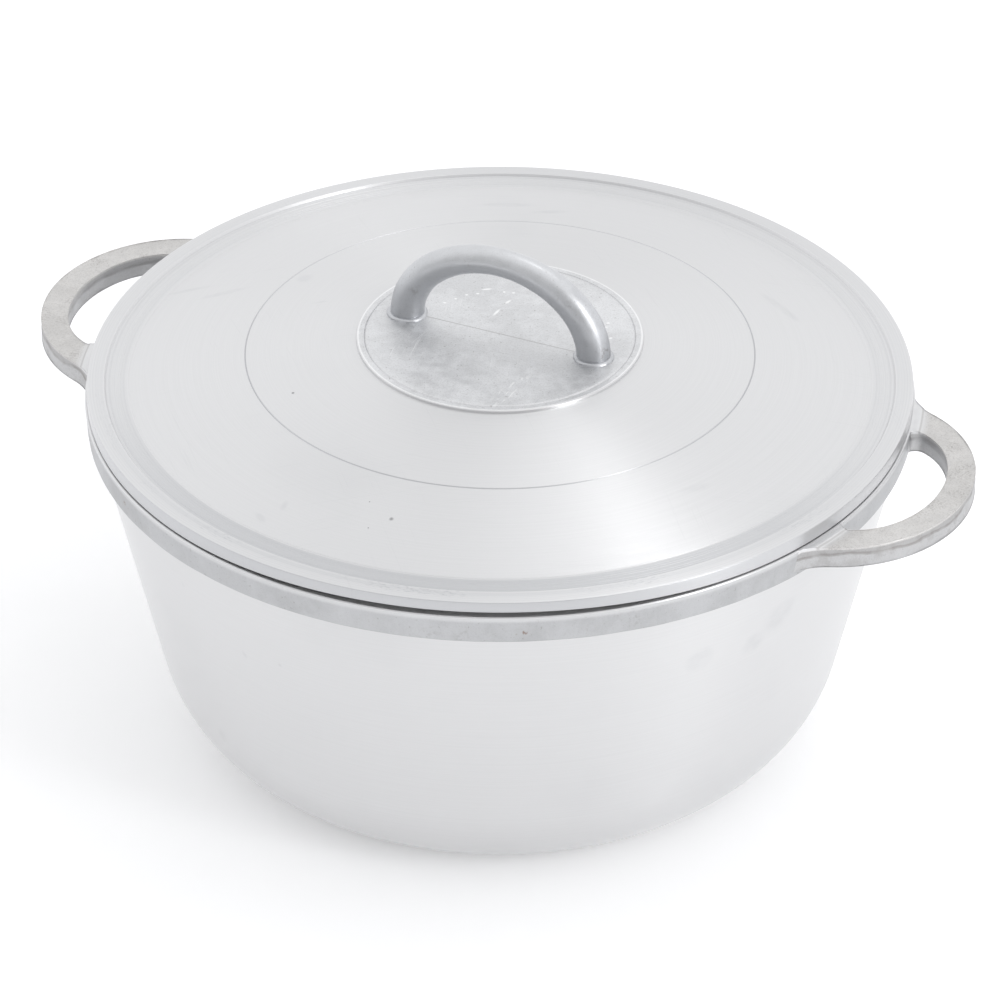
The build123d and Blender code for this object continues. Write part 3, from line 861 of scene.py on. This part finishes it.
class STOCKPOT_OT_lid(bpy.types.Operator):
    """Turn the lid: dome with a scribed line, ring, raised ledge and flange"""

    bl_idname = "stockpot.lid"
    bl_label = "Turned lid"

    def execute(self, context):
        pot = context.scene.stock_pot
        sizes = pot.lid
        centre_z = dome_centre(sizes)

        def on_dome(r, depth=0.0):
            return centre_z + sqrt((sizes.dome - depth) ** 2 - r**2)

        def dome_run(start, end, steps, depth=0.0):
            radii = (start + (end - start) * step / steps for step in range(steps + 1))
            return [(r, on_dome(r, depth)) for r in radii]

        flange_top = LID_LOW + sizes.flange
        ledge_z = flange_top + sizes.ledge_rise
        ring_z = ledge_z - sizes.ring_drop
        channel_z = ring_z - 0.4 * MM
        half = sizes.scribe_width / 2
        ring_lines = []
        for r in (163.8, 165.3, 166.6, 168.9, 170.2):
            ring_lines += groove(r * MM, channel_z, 0.4 * MM, 0.12 * MM)
        section = (
            dome_run(HUB_R - SKIN, sizes.scribe - half, 16)
            + [(sizes.scribe, on_dome(sizes.scribe) - sizes.scribe_depth)]
            + dome_run(sizes.scribe + half, sizes.dome_foot, 16)
            + [(sizes.dome_foot + 0.5 * MM, channel_z)]
            + ring_lines
            + [(sizes.ledge - 0.8 * MM, channel_z), (sizes.ledge, ledge_z)]
            + run((sizes.ledge, ledge_z), (LID_R, flange_top), 4)[1:]
            + [(LID_R, flange_top), (LID_R, LID_LOW), (sizes.spigot_inner, LID_LOW)]
            + dome_run(sizes.dome_foot, HUB_R, 20, sizes.thickness)
        )
        bm = turn(section)
        soften(
            bm,
            (LID_R, flange_top, 0.6 * MM, 2),
            (LID_R, LID_LOW, 0.4 * MM, 2),
            (sizes.ledge, ledge_z, 0.25 * MM, 2),
        )
        for v in bm.verts:
            if v.co.z < LID_LOW + 1 * MM and v.co.xy.length > SPIGOT_R + 1 * MM:
                turned_by = abs((atan2(v.co.y, v.co.x) - sizes.gap_side + pi) % (2 * pi) - pi)
                closed = min(max((turned_by - 0.14) / 0.65, 0.0), 1.0)
                v.co.z -= 0.4 * MM + 1.5 * MM * closed * closed * (3 - 2 * closed)
        smudges = (
            (-153, 3, 174, 13, 2.2, 0.43), (-134, 1, 179, 15, 2.6, 0.55), (-103, 18, 185, 5, 5, 0.3),
            (-53, 122, 179, 16, 4, 0.43), (-31, 122, 180, 12, 3, 0.6), (-86, -2, 187, 5, 1, 0.5),
            (-36, -140, 175, 4, 2, 1.6), (-43, -149, 174, 5, 2, 2.6), (95, 90, 181, 18, 3, -0.5),
            (118, -60, 177, 9, 3, 0.9),
        )
        pits = (
            (-65, -72, 186, 0.9), (11, -134, 178, 1.5), (65, -137, 174, 0.5), (4, -142, 177, 0.5),
            (-2, -128, 180, 0.4), (84, 104, 176, 0.8), (120, -38, 179, 0.8), (-60, 95, 182, 0.7),
        )
        worn_ring = (sizes.ledge + 1.2 * MM, 2.4 * MM)
        channel = (sizes.ledge + sizes.dome_foot) / 2
        # Painted shade: the ring channel, a band on the ledge and the flange's edge, darkened towards
        # the front.
        painted_shade_rings = [
            (channel, 4.3 * MM, 0.4), (sizes.ledge + 2.2 * MM, 0.8 * MM, 0.16), (LID_R, 0.15 * MM, 0.5),
        ]
        metal = turned_metal(
            "Turned lid", pot.finish, smudges, pits, worn_ring, painted_shade_rings, sizes.scribe,
        )
        place(bm, "Turned_lid", "lid", ["lid_plate"], [metal])

        spigot = [
            (sizes.spigot_inner, SEAT_Z), (SPIGOT_R, SEAT_Z), (SPIGOT_R, LID_LOW + SKIN),
            (sizes.spigot_inner, LID_LOW + SKIN),
        ]
        bm = turn(spigot)
        soften(bm, (SPIGOT_R, SEAT_Z, 0.6 * MM, 2), (sizes.spigot_inner, SEAT_Z, 0.6 * MM, 2))
        plain = turned_metal("Turned spigot", pot.finish)
        place(bm, "Lid_spigot", "lid", ["lid_spigot"], [plain])
        return {"FINISHED"}


class STOCKPOT_OT_hub(bpy.types.Operator):
    """Make the as-cast disc in the middle of the lid, with its turned line and edge"""

    bl_idname = "stockpot.hub"
    bl_label = "Lid hub"

    def execute(self, context):
        pot = context.scene.stock_pot
        sizes = pot.lid
        rim_z = HUB_TOP - sizes.hub_crown
        line = sizes.hub_line
        under = dome_centre(sizes) + sqrt((sizes.dome - sizes.thickness) ** 2 - HUB_R**2)
        pad_z = HUB_FLOOR - sizes.thickness
        section = (
            [(0.0, pad_z), (HUB_R + 2 * MM, pad_z), (HUB_R + 5 * MM, under)]
            + [(HUB_R - SKIN, under + SKIN), (HUB_R - SKIN, rim_z)]
            + groove(line, rim_z, 0.7 * MM, 0.35 * MM)[::-1]
            + run((line - 0.9 * MM, HUB_TOP), (0.0, HUB_TOP), 40)
            + [(0.0, HUB_TOP)]
        )
        bm = turn(section, closed=False, steps=240)
        soften(bm, (HUB_R - SKIN, rim_z, sizes.hub_chamfer, 2))
        skin = [v for v in bm.verts if v.co.xy.length < line - 0.8 * MM and v.co.z > HUB_FLOOR]
        roughen(bm, skin, 0.22 * MM, 16 * MM, 7.0)
        metal = cast_hub(pot.finish, line)
        bright = turned_metal("Turned hub edge", pot.finish)

        def is_turned(r, z):
            return z < HUB_FLOOR or r > HUB_R - 1.2 * sizes.hub_chamfer

        face_materials(bm, is_turned)
        place(bm, "Lid_hub", "lid", ["lid_hub"], [metal, bright])
        return {"FINISHED"}


def add_collar(bm, sizes, side):
    """Adds the ragged cast collar round the foot on one side, 1 or -1, to the grip's mesh."""
    low = HUB_TOP - 0.4 * MM
    inside = sizes.foot - 1.0 * MM
    collar = turn(
        [
            (inside, low), (sizes.collar, low),
            (sizes.collar - 0.2 * MM, HUB_TOP + 0.35 * sizes.collar_height),
            (sizes.collar - 0.7 * MM, HUB_TOP + 0.8 * sizes.collar_height),
            (sizes.foot + 0.1 * MM, HUB_TOP + sizes.collar_height),
            (inside, HUB_TOP + sizes.collar_height),
        ],
        steps=72,
    )
    at = Vector((side * 9, 0, 0))
    for v in collar.verts:
        if v.co.xy.length > sizes.foot + 0.5 * MM:
            ragged = 1 - 0.03 * (0.5 + noise.noise(v.co * 150 + at))
            v.co.xy *= ragged - 0.02 * (0.5 + noise.noise(v.co * 600 + at))
    bmesh.ops.translate(collar, vec=(side * sizes.half_span, 0, 0), verts=collar.verts)
    mesh = bpy.data.meshes.new("collar")
    collar.to_mesh(mesh)
    collar.free()
    bm.from_mesh(mesh)
    bpy.data.meshes.remove(mesh)


class STOCKPOT_OT_grip(bpy.types.Operator):
    """Make the arched grip, with its collars and the flash along the mould's parting line"""

    bl_idname = "stockpot.grip"
    bl_label = "Lid grip"

    def execute(self, context):
        pot = context.scene.stock_pot
        sizes = pot.grip
        bm = bmesh.new()
        ring = bmesh.ops.create_circle(bm, cap_ends=False, segments=64, radius=1.0)["verts"]
        for v in ring:
            v.co = Vector((sizes.half_span + v.co.x * sizes.foot, v.co.y * sizes.foot, HUB_TOP))
        edges = list({edge for v in ring for edge in v.link_edges})
        bmesh.ops.spin(
            bm, geom=ring + edges, cent=(0, 0, HUB_TOP), axis=(0, -1, 0), dvec=(0, 0, 0), angle=pi,
            steps=120, use_merge=False, use_normal_flip=False, use_duplicate=False,
        )
        bmesh.ops.holes_fill(bm, edges=bm.edges, sides=0)
        bmesh.ops.recalc_face_normals(bm, faces=bm.faces)
        seam = radians(62)
        for v in bm.verts:
            up = v.co.z - HUB_TOP
            angle = atan2(up, v.co.x)
            out = hypot(v.co.x, up) - sizes.half_span
            turn_by = atan2(v.co.y, out)
            thick = (sizes.crown + (sizes.foot - sizes.crown) * abs(cos(angle)) ** 1.5) / sizes.foot
            lift = sizes.flash if abs(turn_by - seam) < radians(3) else 0.0
            normal = Vector((cos(angle) / sizes.half_span, 0, sin(angle) / sizes.rise)).normalized()
            centre = Vector((sizes.half_span * cos(angle), 0, HUB_TOP + sizes.rise * sin(angle)))
            off = normal * cos(turn_by) + Vector((0, sin(turn_by), 0))
            v.co = centre + off * (sizes.foot * thick - 0.1 * MM + lift)
        bar = list(bm.verts)
        for side in (1, -1):
            add_collar(bm, sizes, side)
        roughen(bm, bar, 0.3 * MM, 11 * MM, 2.0)
        metal = cast_grip(pot.finish)
        place(bm, "Lid_grip", "lid", ["lid_handle"], [metal])
        return {"FINISHED"}


def softbox(name, location, target, width, height, watts):
    """A large soft area light aimed at a point."""
    data = bpy.data.lights.new(name, "AREA")
    data.shape = "RECTANGLE"
    data.size, data.size_y = width, height
    data.energy = watts
    lamp = bpy.data.objects.new(name, data)
    lamp.location = location
    lamp.rotation_euler = (Vector(target) - Vector(location)).to_track_quat("-Z", "Y").to_euler()
    bpy.context.scene.collection.objects.link(lamp)


class STOCKPOT_OT_stage(bpy.types.Operator):
    """Set the pale floor, the soft light and the camera"""

    bl_idname = "stockpot.stage"
    bl_label = "Stage"

    def execute(self, context):
        studio = context.scene.stock_pot.studio
        scene = context.scene

        data = bpy.data.cameras.new("Camera")
        data.lens = studio.lens
        data.sensor_width = 36.0
        camera = bpy.data.objects.new("Camera", data)
        turn_by, lift = studio.azimuth, studio.elevation
        back = Vector((sin(turn_by) * cos(lift), -cos(turn_by) * cos(lift), sin(lift)))
        camera.location = Vector((0, 0, studio.aim)) + back * studio.distance
        camera.rotation_euler = (-back).to_track_quat("-Z", "Y").to_euler()
        scene.collection.objects.link(camera)
        scene.camera = camera

        bm = bmesh.new()
        bmesh.ops.create_grid(bm, x_segments=4, y_segments=4, size=8.0)
        mesh = bpy.data.meshes.new("Floor")
        bm.to_mesh(mesh)
        bm.free()
        floor = bpy.data.objects.new("Floor", mesh)
        scene.collection.objects.link(floor)
        paper = bpy.data.materials.new("Pale paper")
        paper.use_nodes = True
        shader = paper.node_tree.nodes["Principled BSDF"]
        for key, value in (
            ("Base Color", (*studio.floor, 1.0)), ("Roughness", 0.9), ("Specular IOR Level", 0.2),
            ("Emission Color", (1.0, 1.0, 1.0, 1.0)), ("Emission Strength", studio.glow),
        ):
            shader.inputs[key].default_value = value
        mesh.materials.append(paper)

        world = bpy.data.worlds.new("Surround")
        world.use_nodes = True
        nodes, links = world.node_tree.nodes, world.node_tree.links
        surround = nodes["Background"]
        surround.inputs["Color"].default_value = (0.985, 0.99, 1.0, 1.0)
        scene.world = world
        right = Vector((cos(turn_by), sin(turn_by), 0))
        towards = Vector((sin(turn_by), -cos(turn_by), 0))
        facing = nodes.new("ShaderNodeVectorMath")
        facing.operation = "DOT_PRODUCT"
        facing.inputs[1].default_value = (towards - right * 0.4).normalized()
        links.new(nodes.new("ShaderNodeTexCoord").outputs["Generated"], facing.inputs[0])
        dim = nodes.new("ShaderNodeMapRange")
        dim.interpolation_type = "SMOOTHSTEP"
        for key, value in (
            ("From Min", 0.1), ("From Max", 0.8), ("To Min", studio.sky),
            ("To Max", studio.sky * (1 - studio.shade)),
        ):
            dim.inputs[key].default_value = value
        links.new(facing.outputs["Value"], dim.inputs["Value"])
        links.new(dim.outputs["Result"], surround.inputs["Strength"])
        above = right * 0.48 - towards * 0.6 + Vector((0, 0, 2.0))
        softbox("Overhead lamp", above, (0, 0, LID_LOW), 0.15, 0.15, studio.overhead)
        softbox("Overhead strip", above, (0, 0, LID_LOW), 1.2, 0.3, studio.wide)
        beside = right * 1.6 + towards * 1.25 + Vector((0, 0, 1.0))
        softbox("Right softbox", beside, (0, 0, 0.1), 0.45, 1.2, studio.side)
        scene.view_settings.view_transform = "Standard"
        scene.view_settings.look = "None"
        return {"FINISHED"}


class STOCKPOT_PT_panel(bpy.types.Panel):
    """The pot's operators, in the order in which they run"""

    bl_idname = "STOCKPOT_PT_panel"
    bl_label = "Stock pot"
    bl_space_type = "VIEW_3D"
    bl_region_type = "UI"
    bl_category = "Stock pot"

    def draw(self, context):
        for operator in OPERATORS:
            self.layout.operator(operator.bl_idname)
        for group in ("bowl", "ear", "lid", "grip", "finish", "studio"):
            box = self.layout.box()
            settings = getattr(context.scene.stock_pot, group)
            for key in settings.__annotations__:
                box.prop(settings, key)


OPERATORS = (
    STOCKPOT_OT_bowl,
    STOCKPOT_OT_rim,
    STOCKPOT_OT_ears,
    STOCKPOT_OT_lid,
    STOCKPOT_OT_hub,
    STOCKPOT_OT_grip,
    STOCKPOT_OT_stage,
)
GROUPS = (BowlSizes, EarSizes, LidSizes, GripSizes, Finish, Studio, StockPot)
CLASSES = (*GROUPS, *OPERATORS, STOCKPOT_PT_panel)


def register():
    for item in CLASSES:
        bpy.utils.register_class(item)
    bpy.types.Scene.stock_pot = PointerProperty(type=StockPot)


def unregister():
    del bpy.types.Scene.stock_pot
    for item in reversed(CLASSES):
        bpy.utils.unregister_class(item)


def main():
    """Builds every piece and the stage."""
    register()
    bpy.ops.stockpot.bowl()
    bpy.ops.stockpot.rim()
    bpy.ops.stockpot.ears()
    bpy.ops.stockpot.lid()
    bpy.ops.stockpot.hub()
    bpy.ops.stockpot.grip()
    bpy.ops.stockpot.stage()


if __name__ == "__main__":
    main()
